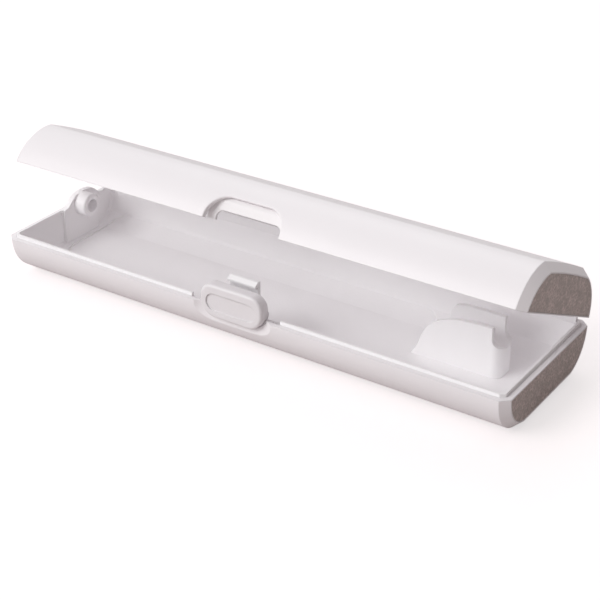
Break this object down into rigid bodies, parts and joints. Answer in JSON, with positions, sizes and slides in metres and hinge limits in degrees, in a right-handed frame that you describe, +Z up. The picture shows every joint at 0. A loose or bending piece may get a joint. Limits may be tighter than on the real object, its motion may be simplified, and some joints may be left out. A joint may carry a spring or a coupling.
{
  "type": "toothbrush travel case",
  "caption": "Hinged two-shell travel case for an electric toothbrush, with a moulded tray, a handle peg, a neck cradle and a sprung press latch.",
  "frame": {"origin": "centre of the base's footprint, on the flat underside", "axes": "+X along the case towards the neck cradle, +Y towards the hinge, +Z up out of the base"},
  "size_m": [0.226, 0.073, 0.0579],
  "materials": {
    "white_gloss": "moulded, glossy",
    "white_satin": "moulded, satin",
    "grey_texture": "fine spark-eroded texture",
    "pin_steel": "drawn, bright",
    "spring_steel": "drawn wire"
  },
  "bodies": {
    "base": {"base_shell": "white_gloss", "base_tray": "white_satin", "base_end_inlay_left": "grey_texture", "base_end_inlay_right": "grey_texture", "hinge_pin_left": "pin_steel", "hinge_pin_right": "pin_steel", "latch_pin": "pin_steel", "latch_spring": "spring_steel"},
    "lid": {"lid_shell": "white_gloss", "lid_liner": "white_satin", "lid_end_inlay_left": "grey_texture", "lid_end_inlay_right": "grey_texture", "latch_keeper": "white_satin"},
    "latch": {"latch_button": "white_gloss", "latch_lever": "white_satin"}
  },
  "joints": [
    {"name": "lid_hinge", "type": "hinge", "parent": "base", "child": "lid", "pos_m": [0, 0.0363, 0.01746], "axis": [-1, 0, 0], "range_deg": [-26.45, 148.55]},
    {"name": "latch_press", "type": "hinge", "parent": "base", "child": "latch", "pos_m": [0, -0.0252, 0.0089], "axis": [-1, 0, 0], "range_deg": [0, 4], "stiffness_Nm_per_rad": 0.45, "springref_deg": -1.72, "deforming": ["latch_spring"]}
  ]
}
